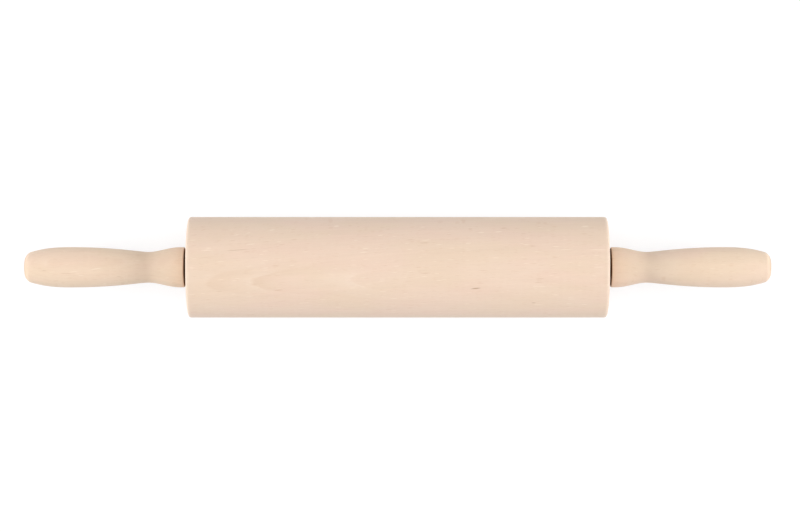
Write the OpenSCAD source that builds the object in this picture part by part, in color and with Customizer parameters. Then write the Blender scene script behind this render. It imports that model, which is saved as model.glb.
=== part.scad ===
// Wooden rolling pin with a turning barrel and two still handles.
// The axis lies along X, the origin is the middle of the barrel on its axis, and Z is up.

/* [Barrel] */
// Diameter of the rolling barrel
barrel_d = 60; // [50:1:80]
// Length of the rolling barrel
barrel_l = 249; // [180:1:400]
// Radius of the rounding on the barrel's two end edges
barrel_round = 1.5; // [0.5:0.5:4]
// Diameter of the hole that clears the axle between the bearings
barrel_bore_d = 12; // [10:0.5:16]

/* [Handles] */
// Length of each handle
handle_l = 95.2; // [86:0.1:130]
// Open gap between the barrel and each handle
handle_gap = 2.4; // [1:0.1:5]
// Diameter of the collar beside the barrel
collar_d = 24; // [22:0.5:30]
// Length of the collar before it narrows
collar_l = 2.5; // [2:0.5:8]
// Radius of the collar's edge beside the gap
collar_round = 0.8; // [0.3:0.1:1.5]
// Diameter of the neck, the narrowest place
neck_d = 18.4; // [14:0.2:22]
// Distance from the collar's face to the neck
neck_at = 21.6; // [16:0.1:26]
// Diameter of the belly that the palm holds
belly_d = 24.1; // [22:0.1:32]
// Distance from the outer end to the belly's widest place
belly_at = 27; // [24:0.5:36]
// Diameter of the flat face at the outer end
butt_d = 10; // [6:0.5:14]
// Diameter at which the rounded outer end begins
butt_shoulder_d = 18; // [15:0.5:20]
// Length of the rounded outer end
butt_l = 3; // [2:0.1:5]

/* [Axle] */
// Diameter of the axle rod, which is the bore of the bearings
axle_d = 8; // [7:0.5:8.5]
// Depth to which the axle reaches into each handle
axle_tail = 50; // [40:1:66]
// Number of glue grooves on each tail of the axle
glue_grooves = 5; // [2:1:6]

/* [Bearings] */
// Outside diameter of a bearing
bearing_d = 22; // [21:0.5:24]
// Width of a bearing
bearing_w = 7; // [7:0.5:9]
// Diameter of a ball
ball_d = 3.969; // [3.5:0.001:4.1]
// Number of balls in a bearing
ball_count = 7; // [5:1:8]
// Depth of the bearing's outer face below the barrel's end face
bearing_inset = 1.5; // [1:0.1:4]
// Wall of the pressed cup that seats the bearing
cup_wall = 1; // [0.8:0.1:2]
// Depth of the cup's rim below the barrel's end face
cup_inset = 0.5; // [0.2:0.1:0.8]
// Outside diameter of the spacer between bearing and handle
spacer_d = 12; // [10:0.1:12]

/* [Hidden] */

// Fineness of round shapes, and points along each curve of the handle
$fn = 96;
curve_steps = 12;
edge_steps = 4;
// Length by which a cut runs past the surface that it opens
over = 1;

// Places along the axis, counted from the middle of the barrel
end_x = barrel_l / 2;
collar_x = end_x + handle_gap;
bearing_outer_x = end_x - bearing_inset;
bearing_inner_x = bearing_outer_x - bearing_w;
bearing_x = (bearing_outer_x + bearing_inner_x) / 2;
cup_floor_x = bearing_inner_x - cup_wall;
cup_rim_x = end_x - cup_inset;

// Seat of the cup, and the wider bore behind it that clears the retaining ring
cup_d = bearing_d + 2 * cup_wall;
clip_room_d = 17;
clip_room_l = 3;

// Blind hole in the handle, with the cone that a twist drill leaves
drill_depth = axle_tail + 1;
drill_point_angle = 118;
drill_point = axle_d / 2 / tan(drill_point_angle / 2);
hole_chamfer = 0.5;

// Pull of the handle's curves at each end, as a share of the curve's length
flare_pull = [0.40, 0.33];
swell_pull = [0.12, 0.57];
taper_pull = [0.37, 0.33];
// How far the taper has come in where it starts to pull, and the pulls of the rounded outer end in mm
taper_drop = 0.22;
butt_pull_in = 0.75;
butt_pull_out = 1.4;

// Axle details, with the glue grooves spread evenly over each tail
axle_chamfer = 0.8;
groove_depth = 0.3;
groove_w = 1.5;
groove_pitch = axle_tail / (glue_grooves + 1);

// Retaining ring, thickness along the axis, and its groove
clip_t = 0.8;
clip_groove_w = 0.9;
clip_groove_depth = 0.2;
clip_seat_r = axle_d / 2 - clip_groove_depth;
clip_band = 1.4;
clip_r = axle_d / 2 + clip_band;
clip_lug_r = 1.5;
clip_lug_at = axle_d / 2 + 1.8;
clip_lug_turn = 25;
clip_hole_r = 0.6;
clip_opening = 2.2;

// Bearing, with the race grooves a little wider than the balls
ball_r = ball_d / 2;
pitch_r = (axle_d + bearing_d) / 4;
race_share = 0.52;
race_r = race_share * ball_d;
race_play = 0.01;
shoulder_share = 0.37;
shoulder = shoulder_share * ball_d;
inner_race_bottom = pitch_r - ball_r - race_play;
outer_race_bottom = pitch_r + ball_r + race_play;
inner_shoulder_r = pitch_r - shoulder;
outer_shoulder_r = pitch_r + shoulder;
ring_chamfer = 0.3;

// Shield plates, pressed in a step of the outer ring
shield_t = 0.3;
shield_depth = 0.3;
shield_seat = 0.4;
shield_gap = 0.3;
shield_r = outer_shoulder_r + shield_seat;
shield_hole_r = inner_shoulder_r + shield_gap;
shield_step = shield_depth + shield_t;

// Ball cage, a ring with open round pockets
cage_half = 0.9;
cage_r = pitch_r + cage_half;
cage_hole_r = pitch_r - cage_half;
cage_back = 2.5;
cage_front = 1.6;
pocket_play = 0.05;
pocket_r = ball_r + pocket_play;

// Spacer
spacer_play = 0.05;
spacer_hole_r = axle_d / 2 + spacer_play;
spacer_chamfer = 0.3;

// Colours
beech = [0.93, 0.83, 0.73];
beech_handle = [0.94, 0.85, 0.73];
steel = [0.72, 0.73, 0.75];
bright_steel = [0.82, 0.83, 0.85];
zinc = [0.66, 0.68, 0.70];
spring_black = [0.20, 0.20, 0.21];
cage_cream = [0.86, 0.82, 0.70];
fibre_brown = [0.25, 0.13, 0.07];

// Turns a drawn half section round the X axis. Its x is the radius and its y the place along X.
module lathe() rotate([0, 90, 0]) rotate_extrude() children();

// A shape of the right side, also used mirrored on the left
module right_side() children();
module left_side() mirror([1, 0, 0]) children();

// Half section of a plain ring from radius r0 to r1 and from place x0 to x1
module band(r0, r1, x0, x1) translate([r0, x0]) square([r1 - r0, x1 - x0]);

// Points of a cubic curve, and of an arc about the point c
function bezier(p, t) =
    pow(1 - t, 3) * p[0] + 3 * t * pow(1 - t, 2) * p[1] + 3 * t * t * (1 - t) * p[2] + pow(t, 3) * p[3];
function curve(p) = [for (i = [1:curve_steps]) bezier(p, i / curve_steps)];
function arc(c, r, a0, a1) =
    [for (i = [0:edge_steps]) c + r * [cos(a0 + (a1 - a0) * i / edge_steps), sin(a0 + (a1 - a0) * i / edge_steps)]];

// Barrel, a cylinder with rounded ends and a stepped bore for cup, retaining ring and axle
module barrel() color(beech) lathe() difference() {
    union() {
        band(0, barrel_d / 2, -end_x + barrel_round, end_x - barrel_round);
        band(0, barrel_d / 2 - barrel_round, -end_x, end_x);
        for (side = [-1, 1])
            translate([barrel_d / 2 - barrel_round, side * (end_x - barrel_round)]) circle(barrel_round);
    }
    band(0, barrel_bore_d / 2, -end_x - over, end_x + over);
    for (flip = [0, 1]) mirror([0, flip]) {
        band(0, clip_room_d / 2, cup_floor_x - clip_room_l, end_x + over);
        band(0, cup_d / 2, cup_floor_x, end_x + over);
    }
}

// Outline of the handle from the collar to the outer end, as radius and distance from the collar
function handle_outline() =
    let (
        collar_r = collar_d / 2,
        neck_r = neck_d / 2,
        belly_r = belly_d / 2,
        shoulder_r = butt_shoulder_d / 2,
        belly_y = handle_l - belly_at,
        shoulder_y = handle_l - butt_l,
        flare = neck_at - collar_l,
        swell = belly_y - neck_at,
        taper = shoulder_y - belly_y
    )
    concat(
        [[0, 0]],
        arc([collar_r - collar_round, collar_round], collar_round, -90, 0),
        [[collar_r, collar_l]],
        curve([
            [collar_r, collar_l], [collar_r, collar_l + flare_pull[0] * flare],
            [neck_r, neck_at - flare_pull[1] * flare], [neck_r, neck_at]
        ]),
        curve([
            [neck_r, neck_at], [neck_r, neck_at + swell_pull[0] * swell],
            [belly_r, belly_y - swell_pull[1] * swell], [belly_r, belly_y]
        ]),
        curve([
            [belly_r, belly_y], [belly_r, belly_y + taper_pull[0] * taper],
            [belly_r - taper_drop * (belly_r - shoulder_r), shoulder_y - taper_pull[1] * taper],
            [shoulder_r, shoulder_y]
        ]),
        curve([
            [shoulder_r, shoulder_y], [shoulder_r - butt_pull_in, shoulder_y + butt_l / 2],
            [butt_d / 2 + butt_pull_out, handle_l], [butt_d / 2, handle_l]
        ]),
        [[0, handle_l]]
    );

// Handle, a turned piece with a blind hole for the axle
module handle() color(beech_handle) translate([collar_x, 0, 0]) lathe() difference() {
    polygon(handle_outline());
    band(0, axle_d / 2, -over, drill_depth);
    polygon([[0, drill_depth - over], [axle_d / 2, drill_depth], [0, drill_depth + drill_point]]);
    polygon([
        [0, -over], [axle_d / 2 + hole_chamfer + over, -over],
        [axle_d / 2, hole_chamfer], [0, hole_chamfer]
    ]);
}

module left_handle() left_side() handle();
module right_handle() right_side() handle();

// Axle, one rod with a groove for each retaining ring and glue grooves on both tails
module axle_rod() color(steel) lathe() difference() {
    tip_x = collar_x + axle_tail;
    axle_r = axle_d / 2;
    polygon([
        [0, -tip_x], [axle_r - axle_chamfer, -tip_x], [axle_r, -tip_x + axle_chamfer],
        [axle_r, tip_x - axle_chamfer], [axle_r - axle_chamfer, tip_x], [0, tip_x]
    ]);
    for (flip = [0, 1]) mirror([0, flip]) {
        band(clip_seat_r, axle_r + over, bearing_inner_x - clip_groove_w, bearing_inner_x);
        for (i = [1:glue_grooves]) {
            groove_x = collar_x + i * groove_pitch;
            band(axle_r - groove_depth, axle_r + over, groove_x, groove_x + groove_w);
        }
    }
}

// Spacer sleeve from the bearing's inner ring to the handle
module spacer() color(fibre_brown) lathe() {
    spacer_r = spacer_d / 2;
    polygon([
        [spacer_hole_r, bearing_outer_x], [spacer_r - spacer_chamfer, bearing_outer_x],
        [spacer_r, bearing_outer_x + spacer_chamfer], [spacer_r, collar_x - spacer_chamfer],
        [spacer_r - spacer_chamfer, collar_x], [spacer_hole_r, collar_x]
    ]);
}

module left_spacer() left_side() spacer();
module right_spacer() right_side() spacer();

// Cup pressed from sheet steel, with a floor behind the bearing
module bearing_cup() color(zinc) lathe() union() {
    band(bearing_d / 2, cup_d / 2, cup_floor_x, cup_rim_x);
    band(clip_room_d / 2, cup_d / 2, cup_floor_x, bearing_inner_x);
}

module left_bearing_cup() left_side() bearing_cup();
module right_bearing_cup() right_side() bearing_cup();

// Half section of a bearing ring with its four outer corners broken
module ring_section(r0, r1, chamfer_inside) {
    half = bearing_w / 2;
    c0 = chamfer_inside ? ring_chamfer : 0;
    c1 = chamfer_inside ? 0 : ring_chamfer;
    polygon([
        [r0, -half + c0], [r0 + c0, -half], [r1 - c1, -half], [r1, -half + c1],
        [r1, half - c1], [r1 - c1, half], [r0 + c0, half], [r0, half - c0]
    ]);
}

// Outer ring with its race groove and a step for each shield
module outer_ring() color(bright_steel) translate([bearing_x, 0, 0]) lathe() difference() {
    ring_section(outer_shoulder_r, bearing_d / 2, false);
    translate([outer_race_bottom - race_r, 0]) circle(race_r);
    for (flip = [0, 1]) mirror([0, flip])
        band(outer_shoulder_r - over, shield_r, bearing_w / 2 - shield_step, bearing_w / 2 + over);
}

module left_outer_ring() left_side() outer_ring();
module right_outer_ring() right_side() outer_ring();

// Inner ring with its race groove
module inner_ring() color(bright_steel) translate([bearing_x, 0, 0]) lathe() difference() {
    ring_section(axle_d / 2, inner_shoulder_r, true);
    translate([inner_race_bottom + race_r, 0]) circle(race_r);
}

module left_inner_ring() left_side() inner_ring();
module right_inner_ring() right_side() inner_ring();

// Balls, evenly spaced on the pitch circle
module ball_places() translate([bearing_x, 0, 0]) for (i = [0:ball_count - 1])
    rotate([i * 360 / ball_count, 0, 0]) translate([0, 0, pitch_r]) children();

module bearing_balls() color(bright_steel) ball_places() sphere(ball_r);

module left_bearing_balls() left_side() bearing_balls();
module right_bearing_balls() right_side() bearing_balls();

// Cage that keeps the balls apart, open towards the outside so that they snap in
module ball_cage() color(cage_cream) difference() {
    translate([bearing_x, 0, 0]) lathe() band(cage_hole_r, cage_r, -cage_back, cage_front);
    ball_places() sphere(pocket_r);
}

module left_ball_cage() left_side() ball_cage();
module right_ball_cage() right_side() ball_cage();

// Shield plate with its outer face at place x
module shield(x) color(steel) translate([bearing_x, 0, 0]) lathe()
    band(shield_hole_r, shield_r, x - shield_t, x);

module outboard_shield() shield(bearing_w / 2 - shield_depth);
module inboard_shield() shield(-bearing_w / 2 + shield_depth + shield_t);

module left_inboard_shield() left_side() inboard_shield();
module right_inboard_shield() right_side() inboard_shield();
module left_outboard_shield() left_side() outboard_shield();
module right_outboard_shield() right_side() outboard_shield();

// Retaining ring, an open ring with two lugs for the pliers, in its groove beside the inner ring
module retaining_ring() color(spring_black)
    translate([bearing_inner_x - clip_t, 0, 0]) rotate([0, 90, 0]) difference() {
        union() {
            cylinder(r = clip_r, h = clip_t);
            for (turn = [-clip_lug_turn, clip_lug_turn])
                rotate(turn) translate([clip_lug_at, 0, 0]) cylinder(r = clip_lug_r, h = clip_t);
        }
        translate([0, 0, -over]) cylinder(r = clip_seat_r, h = clip_t + 2 * over);
        translate([0, -clip_opening / 2, -over]) cube([bearing_d, clip_opening, clip_t + 2 * over]);
        for (turn = [-clip_lug_turn, clip_lug_turn])
            rotate(turn) translate([clip_lug_at, 0, -over]) cylinder(r = clip_hole_r, h = clip_t + 2 * over);
    }

module left_retaining_ring() left_side() retaining_ring();
module right_retaining_ring() right_side() retaining_ring();

barrel();
left_handle();
right_handle();
axle_rod();
left_spacer();
right_spacer();
left_bearing_cup();
right_bearing_cup();
left_outer_ring();
right_outer_ring();
left_inner_ring();
right_inner_ring();
left_bearing_balls();
right_bearing_balls();
left_ball_cage();
right_ball_cage();
left_inboard_shield();
right_inboard_shield();
left_outboard_shield();
right_outboard_shield();
left_retaining_ring();
right_retaining_ring();
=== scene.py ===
"""Wooden rolling pin: fine lathe meshes for the wood, detailed materials for all pieces, camera and light.

The axis lies along X, the origin is the middle of the barrel on its axis, and Z is up. Lengths are in metres,
apart from those whose names end in _MM and those inside the material functions, which work in millimetres.
"""
import math

import bpy
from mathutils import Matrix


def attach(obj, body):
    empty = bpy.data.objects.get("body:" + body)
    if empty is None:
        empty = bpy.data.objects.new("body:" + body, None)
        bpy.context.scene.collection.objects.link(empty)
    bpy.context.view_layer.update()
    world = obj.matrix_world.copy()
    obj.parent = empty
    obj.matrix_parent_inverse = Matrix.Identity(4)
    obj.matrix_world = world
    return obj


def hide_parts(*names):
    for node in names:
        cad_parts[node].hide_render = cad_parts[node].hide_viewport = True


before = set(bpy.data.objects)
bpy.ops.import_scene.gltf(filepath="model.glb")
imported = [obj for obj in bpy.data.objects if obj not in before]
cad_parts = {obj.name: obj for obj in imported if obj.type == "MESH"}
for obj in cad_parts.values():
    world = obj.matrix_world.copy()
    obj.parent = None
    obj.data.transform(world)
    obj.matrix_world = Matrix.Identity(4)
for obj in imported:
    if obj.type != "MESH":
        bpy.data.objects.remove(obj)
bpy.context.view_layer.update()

MM = 0.001
SIDES = {"left": -1, "right": 1}

# Sizes of the wood, the same as in the CAD model
BARREL_R_MM = 30.0
BARREL_END_MM = 124.5
BARREL_ROUND_MM = 1.5
AXLE_BORE_R_MM = 6.0
CLIP_ROOM_R_MM = 8.5
CLIP_ROOM_MM = 112.0
CUP_R_MM = 12.0
CUP_FLOOR_MM = 115.0
COLLAR_AT_MM = 126.9
HANDLE_L_MM = 95.2
COLLAR_R_MM = 12.0
COLLAR_L_MM = 2.5
COLLAR_ROUND_MM = 0.8
NECK_R_MM = 9.2
NECK_AT_MM = 21.6
BELLY_R_MM = 12.05
BELLY_AT_MM = HANDLE_L_MM - 27.0
BUTT_R_MM = 5.0
BUTT_SHOULDER_R_MM = 9.0
BUTT_L_MM = 3.0
AXLE_R_MM = 4.0
DRILL_MM = 51.0
DRILL_POINT_MM = AXLE_R_MM / math.tan(math.radians(59))
HOLE_CHAMFER_MM = 0.5
MOUTH_CHAMFER_MM = 0.3

# Pulls of the handle's curves, as shares of their lengths, and how far the taper has come in where it pulls
FLARE_PULL = (0.40, 0.33)
SWELL_PULL = (0.12, 0.57)
TAPER_PULL = (0.37, 0.33)
TAPER_DROP = 0.22
BUTT_PULL_IN_MM = 0.75
BUTT_PULL_OUT_MM = 1.4


# Nodes

SEED_STEP = 7.3


class Nodes:
    """Builds one material's nodes. Each call returns the output socket of what it adds."""

    def __init__(self, name):
        self.material = bpy.data.materials.new(name)
        self.material.use_nodes = True
        self.tree = self.material.node_tree
        self.tree.nodes.clear()

    def add(self, kind, inputs=(), out=0, **settings):
        node = self.tree.nodes.new("ShaderNode" + kind)
        for key, value in settings.items():
            setattr(node, key, value)
        pairs = inputs.items() if isinstance(inputs, dict) else enumerate(inputs)
        for key, value in pairs:
            self.put(value, node.inputs[key])
        return node.outputs[out] if node.outputs else None

    def put(self, value, socket):
        """Links the socket where the value is an output socket, and sets it otherwise."""
        if isinstance(value, bpy.types.NodeSocket):
            self.tree.links.new(value, socket)
        else:
            socket.default_value = value

    def math(self, operation, *values, clamp=False):
        return self.add("Math", values, operation=operation, use_clamp=clamp)

    def total(self, first, *rest):
        for value in rest:
            first = self.math("ADD", first, value)
        return first

    def times(self, first, *rest):
        for value in rest:
            first = self.math("MULTIPLY", first, value)
        return first

    def length(self, a, b):
        return self.math("SQRT", self.math("ADD", self.times(a, a), self.times(b, b)))

    def split(self, vector):
        return self.add("SeparateXYZ", [vector]).node.outputs[:3]

    def join(self, x=0.0, y=0.0, z=0.0):
        return self.add("CombineXYZ", [x, y, z])

    def stretched(self, axes, lengths, seed):
        """Coordinates that run by 1 over each length, shifted by the seed."""
        return self.join(*(
            self.math("MULTIPLY_ADD", axis, 1 / length, seed + SEED_STEP * i)
            for i, (axis, length) in enumerate(zip(axes, lengths))))

    def noise(self, vector, detail=2.0, roughness=0.5, out="Fac"):
        """Noise that runs from 0 to 1 about 0.5."""
        inputs = {"Vector": vector, "Scale": 1.0, "Detail": detail, "Roughness": roughness}
        return self.add("TexNoise", inputs, out)

    def signed_noise(self, vector, **keys):
        """Noise about 0, from about -1 to 1."""
        return self.math("MULTIPLY_ADD", self.noise(vector, **keys), 2.0, -1.0)

    def cells(self, vector):
        """Random cells: the distance from the middle of the cell, and its random colour."""
        node = self.add("TexVoronoi", {"Vector": vector, "Scale": 1.0}).node
        return node.outputs["Distance"], node.outputs["Color"]

    def step(self, value, low, high, to_low=0.0, to_high=1.0):
        """Smooth step from to_low to to_high while the value goes from low to high."""
        return self.add("MapRange", [value, low, high, to_low, to_high], interpolation_type="SMOOTHSTEP")

    def mix(self, amount, a, b, blend_type="MIX"):
        node = self.tree.nodes.new("ShaderNodeMix")
        node.data_type = "RGBA"
        node.blend_type = blend_type
        sockets = {socket.identifier: socket for socket in node.inputs}
        for key, value in (("Factor_Float", amount), ("A_Color", a), ("B_Color", b)):
            self.put(value, sockets[key])
        return next(socket for socket in node.outputs if socket.identifier == "Result_Color")

    def toned(self, colour, amount, tone):
        """Mixes the colour with the tone, which replaces it where amount is 1."""
        return self.mix(amount, colour, (*tone, 1.0))

    def tinted(self, colour, amount, tint):
        """Multiplies the colour by the tint where amount is 1."""
        return self.mix(amount, colour, (*tint, 1.0), blend_type="MULTIPLY")

    def brightened(self, colour, value):
        return self.add("VectorMath", {0: colour, "Scale": value}, operation="SCALE")

    def place_mm(self):
        """The place on the piece at rest, as x, y and z in millimetres."""
        place = self.add("TexCoord", out="Object")
        return self.split(self.add("VectorMath", [place, (1 / MM,) * 3], operation="MULTIPLY"))

    def finish(self, colour, roughness, height, height_mm, metallic=0.0, specular=0.5):
        """Ends the material. height bumps the surface by up to height_mm."""
        bump = self.add("Bump", {"Strength": 1.0, "Distance": height_mm * MM, "Height": height})
        shader = self.add("BsdfPrincipled", {"Base Color": colour, "Roughness": roughness, "Metallic": metallic,
                                             "Specular IOR Level": specular, "Normal": bump})
        self.add("OutputMaterial", [shader])
        return self.material


# Wood: linear tones that its colour is mixed with, and tints that multiply it

EARLY_TONE = (0.93, 0.82, 0.73)
PALE_FLECK_TONE = (0.94, 0.81, 0.69)
PALE_FLAKE_TONE = (0.93, 0.81, 0.69)
END_RAY_TONE = (0.80, 0.64, 0.50)
# The next tone is a painted highlight for the rounded end edges of the barrel
RIM_HIGHLIGHT_TONE = (0.93, 0.79, 0.68)
PALE_MARK_TONE = (0.95, 0.82, 0.70)
LATE_TINT = (0.93, 0.885, 0.85)
TINY_FLECK_TINT = (0.90, 0.83, 0.76)
DARK_FLECK_TINT = (0.88, 0.82, 0.76)
DARK_FLAKE_TINT = (0.86, 0.79, 0.72)
END_GRAIN_TINT = (0.76, 0.67, 0.57)
END_LATE_TINT = (0.84, 0.77, 0.70)
# The next tint is painted shade for the end face inside the gap between handle and barrel
GAP_SHADE_TINT = (0.32, 0.20, 0.12)
MARK_TINT = (0.66, 0.56, 0.46)

# Sizes of its patterns along the grain and across it. The rays' are along the grain, round the pith and towards it
WANDER_MM = (60, 22, 22)
RIPPLE_MM = (26, 9, 9)
FIBRE_MM = (10, 0.20, 0.20)
STREAK_MM = (75, 1.5, 1.5)
MOTTLE_MM = (48, 15, 15)
BLUSH_MM = (30, 11, 11)
TINY_RAY_MM = (4.4, 0.42, 12)
SMALL_RAY_MM = (8.5, 0.80, 30)
LARGE_RAY_MM = (17, 2.1, 40)
RING_GAP_MM = 2.2
RIPPLE_AMOUNT_MM = 0.30
UPPER_FACE_MM = 6.0

WOOD_ROUGHNESS = 0.62
WOOD_SPECULAR = 0.28
WOOD_BUMP_MM = 0.05


def marks_on(n, x, y, z, marks):
    """Natural marks on the upper face, each as (x, y, half length, half width, slope, strength)."""
    found = 0.0
    upper = n.step(z, 0.0, UPPER_FACE_MM)
    for at_x, at_y, half_l, half_w, slope, strength in marks:
        along = n.math("MULTIPLY", n.math("SUBTRACT", x, at_x), 1 / half_l)
        across = n.math("SUBTRACT", n.math("SUBTRACT", y, at_y), n.times(along, half_l * slope))
        across = n.math("MULTIPLY", across, 1 / half_w)
        found = n.math("MAXIMUM", found, n.step(n.length(along, across), 1.0, 0.25, 0.0, strength))
    return n.times(found, upper)


def ray_flecks(n, axes, lengths, size, share, seed):
    """Cut ends of the rays: spindles along the grain on flat-sawn faces, and wide flakes on quarter-sawn ones.

    size is against the lengths, and share is the part of the places that has one. Gives how much of a fleck there
    is, and a random number for each.
    """
    distance, colour = n.cells(n.stretched(axes, lengths, seed))
    chance, turn = n.split(colour)[:2]
    room = n.math("MULTIPLY", n.step(chance, 1 - share, 1.0, 0.35, 1.0), size)
    body = n.step(n.math("DIVIDE", distance, room), 1.0, 0.35)
    present = n.math("GREATER_THAN", chance, 1 - share)
    return n.times(body, present), turn


def growth_rings(n, growth, seed, shift, beat, luck):
    """The place within the growth ring, from 0 to 1 outwards, and how strong that ring is, from 0 to 1.

    beat is (amount, place on the rings), and makes rings wider and narrower by turns.
    """
    uneven = n.signed_noise(n.join(n.math("MULTIPLY_ADD", growth, 0.21, seed)), detail=1.0)
    ring = n.total(n.times(growth, 1 / RING_GAP_MM), n.times(uneven, 0.25), shift)
    if beat:
        amount, place = beat
        turn = n.math("MULTIPLY_ADD", ring, math.pi, -math.pi * place)
        ring = n.math("MULTIPLY_ADD", n.math("COSINE", turn), amount, ring)
    number = n.math("ADD", n.math("FLOOR", ring), luck)
    strength = n.add("TexWhiteNoise", {"W": number}, "Value", noise_dimensions="1D")
    return n.math("FRACT", ring), strength


def wood(name, tones, pith, lean, middle, seed, rise=0.0, bend=0.0, drift=3.0, ring_shift=0.0, ring_beat=None,
         ring_luck=0.0, rings=1.0, flecks=1.0, flakes=1.0, ray_depth=1.0, marks=(), pale_marks=(),
         highlight_rim=None, gap_face=None):
    """Bare beech as a solid texture, so the grain runs through faces, edges and end grain as in a real turning.

    tones: the wood's colours, cream, pink and straw
    pith: where the tree's middle passes, (y, z) beside the piece
    lean: how fast the rings shift along X, which makes the flame figure
    rise, bend: tilt and bow of the grain in the XY plane, about the place middle on X
    drift: how far the grain wanders
    ring_shift: moves all rings, as a share of a ring
    ring_beat: makes rings wider and narrower by turns, as growth_rings says
    ring_luck: picks another set of strong and weak rings
    rings, flecks, flakes: how much the late wood, the small rays and the large rays show
    ray_depth: how far the rays reach towards the pith, against their usual depth
    marks, pale_marks: as marks_on says
    highlight_rim: (distance from the middle, radius) of an edge painted pale as a highlight
    gap_face: distance from the middle of the collar's end face, which is darkened as painted shade inside the gap
    """
    n = Nodes(name)
    x, y, z = n.place_mm()
    along = n.math("SUBTRACT", x, middle)

    # Frame of the grain: it bows, and it wanders slowly as a trunk does
    bow = n.times(along, n.math("MULTIPLY_ADD", along, bend, rise))
    wander = n.noise(n.stretched((x, y, z), WANDER_MM, seed), detail=1.0, out="Color")
    wander_y, wander_z = n.split(n.add("VectorMath", [wander, (0.5,) * 3], operation="SUBTRACT"))[:2]
    grain_y = n.total(n.math("SUBTRACT", y, bow), n.times(wander_y, drift))
    grain_z = n.total(z, n.times(wander_z, drift))
    from_y = n.math("SUBTRACT", grain_y, pith[0])
    from_z = n.math("SUBTRACT", grain_z, pith[1])
    radius = n.length(from_y, from_z)
    round_pith = n.times(n.math("ARCTAN2", from_y, from_z), math.hypot(*pith))
    grain = (x, grain_y, grain_z)
    polar = (x, round_pith, radius)

    # Growth rings: each has pale early wood and darkens towards the sharp outer edge of its late wood
    ripple = n.signed_noise(n.stretched(polar, RIPPLE_MM, seed + 3), detail=2.0)
    growth = n.total(radius, n.times(along, lean), n.times(ripple, RIPPLE_AMOUNT_MM))
    phase, strength = growth_rings(n, growth, seed, ring_shift, ring_beat, ring_luck)
    late = n.times(n.step(phase, 0.25, 0.92), n.step(phase, 1.0, 0.93), n.step(strength, 0, 1, 0.22, 1.0))
    early = n.times(n.step(phase, 0.32, 0.04), n.step(phase, 0.0, 0.04))

    # They show most where the surface lies flat against them, as at the tips of the flames
    normal_x, normal_y, normal_z = n.split(n.add("TexCoord", out="Normal"))
    outwards = n.math("DIVIDE", n.total(n.times(from_y, normal_y), n.times(from_z, normal_z)), radius)
    facing = n.math("ABSOLUTE", outwards)
    late = n.times(late, n.step(facing, 0.93, 1.0, 0.42, 1.5))
    early = n.times(early, n.step(facing, 0.965, 1.0), strength)

    # Rays: very many tiny dark ones, many short ones and fewer long ones. Some of the last two are pale
    small_depth, large_depth = SMALL_RAY_MM[2] * ray_depth, LARGE_RAY_MM[2] * ray_depth
    tiny, tiny_turn = ray_flecks(n, polar, TINY_RAY_MM, 0.50, 0.75, seed + 17)
    small, small_turn = ray_flecks(n, polar, (*SMALL_RAY_MM[:2], small_depth), 0.32, 0.80, seed + 11)
    large, large_turn = ray_flecks(n, polar, (*LARGE_RAY_MM[:2], large_depth), 0.22, 0.62, seed + 23)
    tiny = n.times(tiny, n.step(tiny_turn, 0.0, 1.0, 0.3, 1.0))
    small = n.times(small, n.step(small_turn, 0.0, 1.0, 0.35 * flecks, flecks))
    small_pale = n.times(small, n.math("GREATER_THAN", small_turn, 0.55))
    small_dark = n.math("SUBTRACT", small, small_pale)
    large = n.times(large, flakes)
    is_pale = n.math("GREATER_THAN", large_turn, 0.5)
    large_pale = n.times(large, is_pale)
    large_dark = n.times(large, n.math("SUBTRACT", 1.0, is_pale))

    # Fibres, fine and broad, and slow changes of colour
    fibre = n.signed_noise(n.stretched(grain, FIBRE_MM, seed + 31), detail=3.0, roughness=0.6)
    streak = n.signed_noise(n.stretched(grain, STREAK_MM, seed + 41), detail=2.0, roughness=0.6)
    mottle = n.noise(n.stretched(grain, MOTTLE_MM, seed + 51), detail=2.0, roughness=0.55)
    blush = n.noise(n.stretched(grain, BLUSH_MM, seed + 61), detail=2.0, roughness=0.6)

    # End grain soaks up more and looks darker and rougher
    end_grain = n.step(n.math("ABSOLUTE", normal_x), 0.70, 0.98)
    side_grain = n.math("SUBTRACT", 1.0, end_grain)

    cream, pink, straw = tones
    colour = n.mix(n.step(mottle, 0.36, 0.64), (*pink, 1), (*straw, 1))
    colour = n.toned(colour, n.step(blush, 0.40, 0.66, 0.0, 0.40), cream)
    colour = n.toned(colour, n.times(early, 0.20), EARLY_TONE)
    colour = n.tinted(colour, n.times(late, 0.38 * rings), LATE_TINT)
    colour = n.tinted(colour, n.times(tiny, 0.5, side_grain), TINY_FLECK_TINT)
    colour = n.tinted(colour, n.times(small_dark, 0.9), DARK_FLECK_TINT)
    colour = n.toned(colour, n.times(small_pale, 0.60), PALE_FLECK_TONE)
    colour = n.tinted(colour, n.times(large_dark, 0.6, side_grain), DARK_FLAKE_TINT)
    colour = n.toned(colour, n.times(large_pale, 0.40), PALE_FLAKE_TONE)
    lines = n.total(n.times(fibre, 0.045), n.times(streak, 0.030))
    colour = n.brightened(colour, n.math("ADD", n.times(lines, side_grain), 1.0))
    colour = n.tinted(colour, n.times(end_grain, 0.9), END_GRAIN_TINT)
    colour = n.tinted(colour, n.times(end_grain, late, 0.95), END_LATE_TINT)
    colour = n.toned(colour, n.times(end_grain, small, 0.35), END_RAY_TONE)
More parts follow.
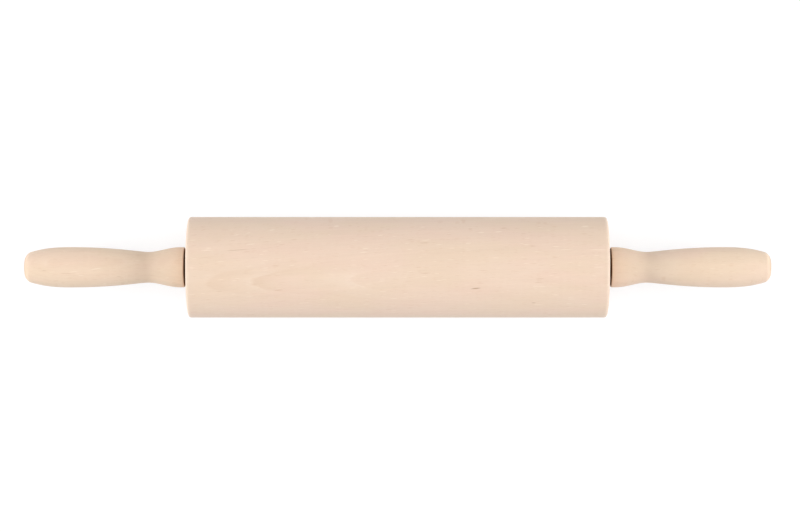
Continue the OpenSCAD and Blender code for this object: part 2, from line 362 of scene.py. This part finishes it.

    # Painted highlight on an end edge, painted shade on the end face in the gap, and marks
    from_middle = n.math("ABSOLUTE", x)
    if highlight_rim:
        rim_at, rim_radius = highlight_rim
        # Painted highlight: the rounded end edge is mixed towards a pale tone as if lit brightly
        rim_highlight = n.times(n.step(from_middle, rim_at - 2.8, rim_at),
                       n.step(n.length(y, z), rim_radius - 2.4, rim_radius - 1.4))
        colour = n.toned(colour, n.times(rim_highlight, 0.50), RIM_HIGHLIGHT_TONE)
    if gap_face:
        # Painted shade: the collar's end face in the narrow gap is darkened to the brown of the shadow there
        gap_shade = n.times(n.step(from_middle, gap_face + 1.1, gap_face + 0.4), end_grain)
        colour = n.tinted(colour, gap_shade, GAP_SHADE_TINT)
    if marks:
        colour = n.tinted(colour, marks_on(n, x, y, z, marks), MARK_TINT)
    if pale_marks:
        colour = n.toned(colour, n.times(marks_on(n, x, y, z, pale_marks), 0.5), PALE_MARK_TONE)

    change = n.total(n.times(large_pale, -0.12), n.times(late, -0.05), n.times(fibre, 0.05),
                     n.times(end_grain, 0.22))
    roughness = n.math("ADD", change, WOOD_ROUGHNESS, clamp=True)
    height = n.total(n.times(fibre, 0.35), n.times(late, 0.18), n.times(small, -0.25), n.times(tiny, -0.2),
                     n.times(large_dark, -0.35), 0.5)
    return n.finish(colour, roughness, height, WOOD_BUMP_MM, specular=WOOD_SPECULAR)


# Other materials

METAL_PATCH_MM = (7, 5, 5)
METAL_SPECK_MM = (0.35,) * 3
METAL_BUMP_MM = 0.012
METAL_TINT = (0.9, 0.9, 0.92)
CLOUD_MM = (4, 3, 3)
MOULDED_BUMP_MM = 0.03


def turned_metal(name, colour, roughness, line_mm, seed, scratch=0.04, metallic=1.0):
    """Metal with fine lathe lines round the X axis, faint streaks, and patches where handling dulled it."""
    n = Nodes(name)
    x, y, z = n.place_mm()
    radius = n.length(y, z)
    lines = n.signed_noise(n.stretched((x, radius, radius), (line_mm,) * 3, seed), detail=3.0, roughness=0.7)
    patches = n.noise(n.stretched((x, y, z), METAL_PATCH_MM, seed + 5), detail=3.0, roughness=0.6)
    specks = n.noise(n.stretched((x, y, z), METAL_SPECK_MM, seed + 9), detail=2.0)
    dull = [c * t for c, t in zip(colour, METAL_TINT)]
    base = n.mix(n.step(patches, 0.35, 0.68), (*colour, 1), (*dull, 1))
    base = n.brightened(base, n.math("MULTIPLY_ADD", lines, 0.05, 1.0))
    change = n.total(n.times(lines, scratch), n.step(patches, 0.3, 0.7, -0.05, 0.08),
                     n.step(specks, 0.6, 0.8, 0, 0.08))
    rough = n.math("ADD", change, roughness, clamp=True)
    return n.finish(base, rough, lines, METAL_BUMP_MM, metallic=metallic)


def moulded(name, colour, dark, roughness, grain_mm, fleck, seed, specular=0.5):
    """Plastic or pressed fibre: fine grain, cloudy colour, and small flecks."""
    n = Nodes(name)
    x, y, z = n.place_mm()
    cloud = n.noise(n.stretched((x, y, z), CLOUD_MM, seed), detail=3.0, roughness=0.6)
    grain = n.noise(n.stretched((x, y, z), (grain_mm * 3, grain_mm, grain_mm), seed + 3), detail=3.0, roughness=0.7)
    pale = [min(1.0, c * 1.6) for c in colour]
    base = n.mix(n.step(cloud, 0.3, 0.7), (*colour, 1), (*dark, 1))
    base = n.toned(base, n.times(n.step(grain, 0.52, 0.75), fleck), pale)
    rough = n.math("MULTIPLY_ADD", grain, 0.2, roughness - 0.1)
    return n.finish(base, rough, grain, MOULDED_BUMP_MM, specular=specular)


STUDIO_TINT = (1.0, 1.01, 1.03)
NEAR, FAR = 0.9, 2.2


def studio_white(name, diffuse, glow, far_glow=None):
    """White that stays white round the object, and shows a soft shade where the object keeps light off it."""
    n = Nodes(name)
    if far_glow is not None:
        apart = n.add("VectorMath", [n.add("TexCoord", out="Object")], "Value", operation="LENGTH")
        glow = n.step(apart, NEAR, FAR, glow, far_glow)
    shader = n.add("BsdfPrincipled", {"Base Color": (*(diffuse,) * 3, 1), "Roughness": 0.9,
                                      "Specular IOR Level": 0.1, "Emission Color": (*STUDIO_TINT, 1),
                                      "Emission Strength": glow})
    n.add("OutputMaterial", [shader])
    return n.material


# Meshes

BARREL_TURNS = 192
HANDLE_TURNS = 128
SHARP_DEGREES = 32
MAP_MARGIN = 0.003
HIDDEN_SHARE = 0.08
ON_AXIS_MM = 1e-6


def arc(centre_x, centre_r, radius, start, end, steps):
    """Points of an arc, without its first point. Angle 0 points away from the axis and 90 along +X."""
    angles = (math.radians(start + (end - start) * i / steps) for i in range(1, steps + 1))
    return [(centre_x + radius * math.sin(a), centre_r + radius * math.cos(a)) for a in angles]


def bezier(points, steps):
    """Points of a cubic curve, without its first point."""
    def at(t):
        weights = ((1 - t) ** 3, 3 * t * (1 - t) ** 2, 3 * t * t * (1 - t), t ** 3)
        return tuple(sum(w * p[k] for w, p in zip(weights, points)) for k in (0, 1))
    return [at(i / steps) for i in range(1, steps + 1)]


def line(start, end, steps):
    """Points of a straight line, without its first point."""
    return [tuple(a + (b - a) * i / steps for a, b in zip(start, end)) for i in range(1, steps + 1)]


def mirrored(points):
    return [(-x, radius) for x, radius in reversed(points)]


def barrel_outline():
    """Half section of the barrel: from the middle over the right end face, and back through the bore."""
    end, radius, edge = BARREL_END_MM, BARREL_R_MM, BARREL_ROUND_MM
    outside = [(0.0, radius)]
    outside += line(outside[-1], (end - edge, radius), 40)
    outside += arc(end - edge, radius - edge, edge, 0, 90, 10)
    outside += line(outside[-1], (end, CUP_R_MM + MOUTH_CHAMFER_MM), 10)
    bore = [(end - MOUTH_CHAMFER_MM, CUP_R_MM), (CUP_FLOOR_MM, CUP_R_MM), (CUP_FLOOR_MM, CLIP_ROOM_R_MM),
            (CLIP_ROOM_MM, CLIP_ROOM_R_MM), (CLIP_ROOM_MM, AXLE_BORE_R_MM)]
    bore += line(bore[-1], (0.0, AXLE_BORE_R_MM), 8)
    return outside, bore


def handle_outline():
    """Half section of the right handle: from the mouth of its hole over the outside to the axis, and the hole."""
    collar, neck, belly, shoulder = COLLAR_R_MM, NECK_R_MM, BELLY_R_MM, BUTT_SHOULDER_R_MM
    shoulder_at = HANDLE_L_MM - BUTT_L_MM
    flare, swell, taper = NECK_AT_MM - COLLAR_L_MM, BELLY_AT_MM - NECK_AT_MM, shoulder_at - BELLY_AT_MM
    points = [(HOLE_CHAMFER_MM, AXLE_R_MM), (0.0, AXLE_R_MM + HOLE_CHAMFER_MM)]
    points += line(points[-1], (0.0, collar - COLLAR_ROUND_MM), 5)
    points += arc(COLLAR_ROUND_MM, collar - COLLAR_ROUND_MM, COLLAR_ROUND_MM, -90, 0, 8)
    points += line(points[-1], (COLLAR_L_MM, collar), 3)
    points += bezier([(COLLAR_L_MM, collar), (COLLAR_L_MM + FLARE_PULL[0] * flare, collar),
                      (NECK_AT_MM - FLARE_PULL[1] * flare, neck), (NECK_AT_MM, neck)], 22)
    points += bezier([(NECK_AT_MM, neck), (NECK_AT_MM + SWELL_PULL[0] * swell, neck),
                      (BELLY_AT_MM - SWELL_PULL[1] * swell, belly), (BELLY_AT_MM, belly)], 30)
    points += bezier([(BELLY_AT_MM, belly), (BELLY_AT_MM + TAPER_PULL[0] * taper, belly),
                      (shoulder_at - TAPER_PULL[1] * taper, belly - TAPER_DROP * (belly - shoulder)),
                      (shoulder_at, shoulder)], 22)
    points += bezier([(shoulder_at, shoulder), (shoulder_at + BUTT_L_MM / 2, shoulder - BUTT_PULL_IN_MM),
                      (HANDLE_L_MM, BUTT_R_MM + BUTT_PULL_OUT_MM), (HANDLE_L_MM, BUTT_R_MM)], 16)
    points += line(points[-1], (HANDLE_L_MM, 0.0), 5)
    hole = [(DRILL_MM + DRILL_POINT_MM, 0.0), (DRILL_MM, AXLE_R_MM)]
    return points, hole


def turned_mesh(name, outside, inside, turns):
    """Turns outlines of (x, radius) in millimetres about X. The inside leads from the end of the outside back.

    The map OFBake gives nearly all its height to the outside and a thin strip to the inside.
    """
    whole = outside + inside
    spans = [math.dist(a, b) for a, b in zip(whole, whole[1:] + whole[:1])]
    spans = [s if i < len(outside) - 1 else s * HIDDEN_SHARE for i, s in enumerate(spans)]
    heights = [sum(spans[:i]) / sum(spans) for i in range(len(whole) + 1)]
    vertices, rings = [], []
    for x, radius in whole:
        first = len(vertices)
        if radius < ON_AXIS_MM:
            rings.append([first] * (turns + 1))
            vertices.append((x * MM, 0.0, 0.0))
            continue
        rings.append([first + j % turns for j in range(turns + 1)])
        for j in range(turns):
            turn = 2 * math.pi * j / turns
            vertices.append((x * MM, radius * MM * math.sin(turn), radius * MM * math.cos(turn)))
    faces, places = [], []
    for i, ring in enumerate(rings):
        after = rings[(i + 1) % len(rings)]
        for j in range(turns):
            corners = [(ring[j], j, i), (ring[j + 1], j + 1, i), (after[j + 1], j + 1, i + 1), (after[j], j, i + 1)]
            kept = [c for k, c in enumerate(corners) if c[0] != corners[k - 1][0]]
            if len(kept) < 3:
                continue
            faces.append([vertex for vertex, _, _ in kept])
            places += [(column / turns, heights[row]) for _, column, row in kept]
    mesh = bpy.data.meshes.new(name)
    mesh.from_pydata(vertices, [], faces)
    layer = mesh.uv_layers.new(name="OFBake")
    room = 1 - 2 * MAP_MARGIN
    layer.uv.foreach_set("vector", [MAP_MARGIN + room * value for place in places for value in place])
    mesh.polygons.foreach_set("use_smooth", [True] * len(mesh.polygons))
    mesh.set_sharp_from_angle(angle=math.radians(SHARP_DEGREES))
    mesh.validate()
    return mesh


def new_piece(name, mesh, material, body, node):
    piece = bpy.data.objects.new(name, mesh)
    bpy.context.scene.collection.objects.link(piece)
    mesh.materials.append(material)
    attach(piece, body)
    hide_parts(node)


# Pieces of wood. Tones are linear colours: cream, pink, straw

BARREL_TONES = ((0.82, 0.668, 0.553), (0.810, 0.634, 0.526), (0.800, 0.640, 0.514))
HANDLE_TONES = ((0.82, 0.668, 0.535), (0.810, 0.634, 0.512), (0.800, 0.641, 0.500))

# Marks that the photograph shows: x, y, half length, half width, slope, strength
BARREL_MARKS = [(45.8, -12.4, 3.8, 0.50, 0.08, 1.0), (80.0, -20.9, 1.8, 0.3, 0.0, 0.7),
                (-94.0, 10.1, 9.0, 0.26, 0.07, 0.6)]
BARREL_PALE_MARKS = [(117.5, 10.3, 8.5, 0.35, 0.0, 1.0), (98.0, 10.3, 6.0, 0.3, 0.03, 0.8),
                     (-112.0, 9.9, 4.5, 0.35, 0.03, 0.9)]
LEFT_MARKS = [(-196.0, -3.7, 6.0, 0.26, 0.0, 0.35), (-165.4, -5.5, 2.0, 0.30, 0.1, 0.35),
              (-209.5, -2.0, 2.0, 0.30, 0.0, 0.35)]
LEFT_PALE_MARKS = [(-178.4, -0.9, 4.4, 0.42, 0.13, 1.0), (-192.0, -2.6, 3.6, 0.34, 0.12, 0.8)]
RIGHT_PALE_MARKS = [(157.0, 0.0, 16.0, 13.0, 0.0, 0.4)]

barrel_wood = wood("beech_barrel", BARREL_TONES, pith=(-46, 180), lean=-0.031, middle=0.0, seed=2.0,
                   rise=0.050, bend=-0.000171, drift=1.8, ring_shift=0.37, ring_beat=(0.165, 1.87),
                   ring_luck=1479.0, rings=0.85, marks=BARREL_MARKS, pale_marks=BARREL_PALE_MARKS,
                   highlight_rim=(BARREL_END_MM, BARREL_R_MM))
handle_woods = {
    "left": wood("beech_handle_left", HANDLE_TONES, pith=(20, 72), lean=-0.035, middle=-185.0, seed=37.0,
                 rise=0.02, drift=1.2, rings=1.5, flecks=0.8, flakes=0.3, ray_depth=0.2, marks=LEFT_MARKS,
                 pale_marks=LEFT_PALE_MARKS, gap_face=COLLAR_AT_MM),
    "right": wood("beech_handle_right", HANDLE_TONES, pith=(-34, -22), lean=-0.012, middle=175.0, seed=71.0,
                  rings=0.5, flecks=0.4, flakes=0.15, ray_depth=0.2, pale_marks=RIGHT_PALE_MARKS,
                  gap_face=COLLAR_AT_MM),
}

outside, bore = barrel_outline()
barrel_mesh = turned_mesh("barrel_wood", mirrored(outside[1:]) + outside, bore + mirrored(bore[:-1]), BARREL_TURNS)
new_piece("barrel_wood", barrel_mesh, barrel_wood, "roller", "barrel")

for side, sign in SIDES.items():
    outside, hole = ([(sign * (COLLAR_AT_MM + x), radius) for x, radius in part] for part in handle_outline())
    mesh = turned_mesh(f"{side}_handle_wood", outside, hole, HANDLE_TURNS)
    new_piece(f"{side}_handle_wood", mesh, handle_woods[side], "handle_set", f"{side}_handle")


# Other pieces keep their CAD shapes. A material is for the nodes whose names end in its key, the longest that fits

materials = {
    "axle_rod": turned_metal("axle_steel", (0.56, 0.57, 0.58), roughness=0.30, line_mm=0.22, seed=1.0),
    "bearing_cup": turned_metal("cup_steel", (0.50, 0.52, 0.54), roughness=0.42, line_mm=0.5, seed=2.0,
                                scratch=0.06),
    "ring": turned_metal("bearing_steel", (0.64, 0.65, 0.67), roughness=0.20, line_mm=0.12, seed=3.0),
    "bearing_balls": turned_metal("ball_steel", (0.72, 0.73, 0.74), roughness=0.10, line_mm=0.6, seed=4.0,
                                  scratch=0.01),
    "shield": turned_metal("shield_steel", (0.55, 0.56, 0.58), roughness=0.34, line_mm=0.3, seed=5.0),
    "retaining_ring": turned_metal("spring_steel", (0.045, 0.045, 0.05), roughness=0.42, line_mm=0.3, seed=6.0,
                                   metallic=0.6),
    "ball_cage": moulded("cage_nylon", (0.70, 0.64, 0.45), (0.64, 0.57, 0.39), roughness=0.5, grain_mm=0.25,
                         fleck=0.2, seed=7.0),
    # The spacer's near-black brown is painted shade, so the gap between handle and barrel reads as shadow
    "spacer": moulded("spacer_fibre", (0.100, 0.034, 0.010), (0.072, 0.023, 0.007), roughness=0.75,
                      grain_mm=0.18, fleck=0.5, seed=8.0, specular=0.25),
}
for name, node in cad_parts.items():
    kinds = [kind for kind in materials if name.endswith(kind)]
    if kinds:
        node.data.materials.clear()
        node.data.materials.append(materials[max(kinds, key=len)])


# Studio

FLOOR_Z = -0.0301
WALL_R = 12.0
WALL_H = 1.3
WALL_SIDES = 64
WORLD_COLOUR = (0.95, 0.985, 1.04)
WORLD_STRENGTH = 0.25
LIGHT_COLOUR = (1.0, 0.955, 0.89)
CAMERA_AT = (0.00136, 0.00075, 1.6)
CAMERA_LENS_MM = 120.7
CAMERA_SENSOR_MM = 36.0


def stage_piece(name, vertices, faces, material):
    mesh = bpy.data.meshes.new(name)
    mesh.from_pydata(vertices, [], faces)
    mesh.materials.append(material)
    piece = bpy.data.objects.new(name, mesh)
    bpy.context.scene.collection.objects.link(piece)


def soft_light(name, place, turn, size, watts):
    light = bpy.data.lights.new(name, "AREA")
    light.shape = "RECTANGLE"
    light.size, light.size_y = size
    light.energy = watts
    light.color = LIGHT_COLOUR
    lamp = bpy.data.objects.new(name, light)
    lamp.location = place
    lamp.rotation_euler = [math.radians(a) for a in turn]
    lamp.visible_camera = False
    bpy.context.scene.collection.objects.link(lamp)


angles = [2 * math.pi * i / WALL_SIDES for i in range(WALL_SIDES)]
corners = [(WALL_R * math.cos(a), WALL_R * math.sin(a)) for a in angles]
edges = [(i, (i + 1) % WALL_SIDES) for i in range(WALL_SIDES)]
stage_piece("floor", [(x, y, FLOOR_Z) for x, y in corners], [tuple(range(WALL_SIDES))],
            studio_white("studio_floor", diffuse=0.3, glow=0.74, far_glow=0.95))
stage_piece("wall", [(x, y, z) for z in (FLOOR_Z, WALL_H) for x, y in corners],
            [(a, b, WALL_SIDES + b, WALL_SIDES + a) for a, b in edges],
            studio_white("studio_wall", diffuse=0.1, glow=1.0))

world = bpy.data.worlds.new("studio")
world.use_nodes = True
background = world.node_tree.nodes["Background"]
background.inputs["Color"].default_value = (*WORLD_COLOUR, 1)
background.inputs["Strength"].default_value = WORLD_STRENGTH
bpy.context.scene.world = world

soft_light("top_light", (0.0, -0.10, 2.2), (-3, 0, 0), (1.3, 1.3), 15)
soft_light("left_light", (-1.6, -0.04, 0.85), (0, -60, 0), (0.8, 1.2), 22)
soft_light("right_light", (1.6, -0.04, 0.85), (0, 60, 0), (0.8, 1.2), 22)

camera_data = bpy.data.cameras.new("camera")
camera_data.sensor_width = CAMERA_SENSOR_MM
camera_data.lens = CAMERA_LENS_MM
camera = bpy.data.objects.new("camera", camera_data)
camera.location = CAMERA_AT
bpy.context.scene.collection.objects.link(camera)
bpy.context.scene.camera = camera
bpy.context.scene.view_settings.view_transform = "Standard"
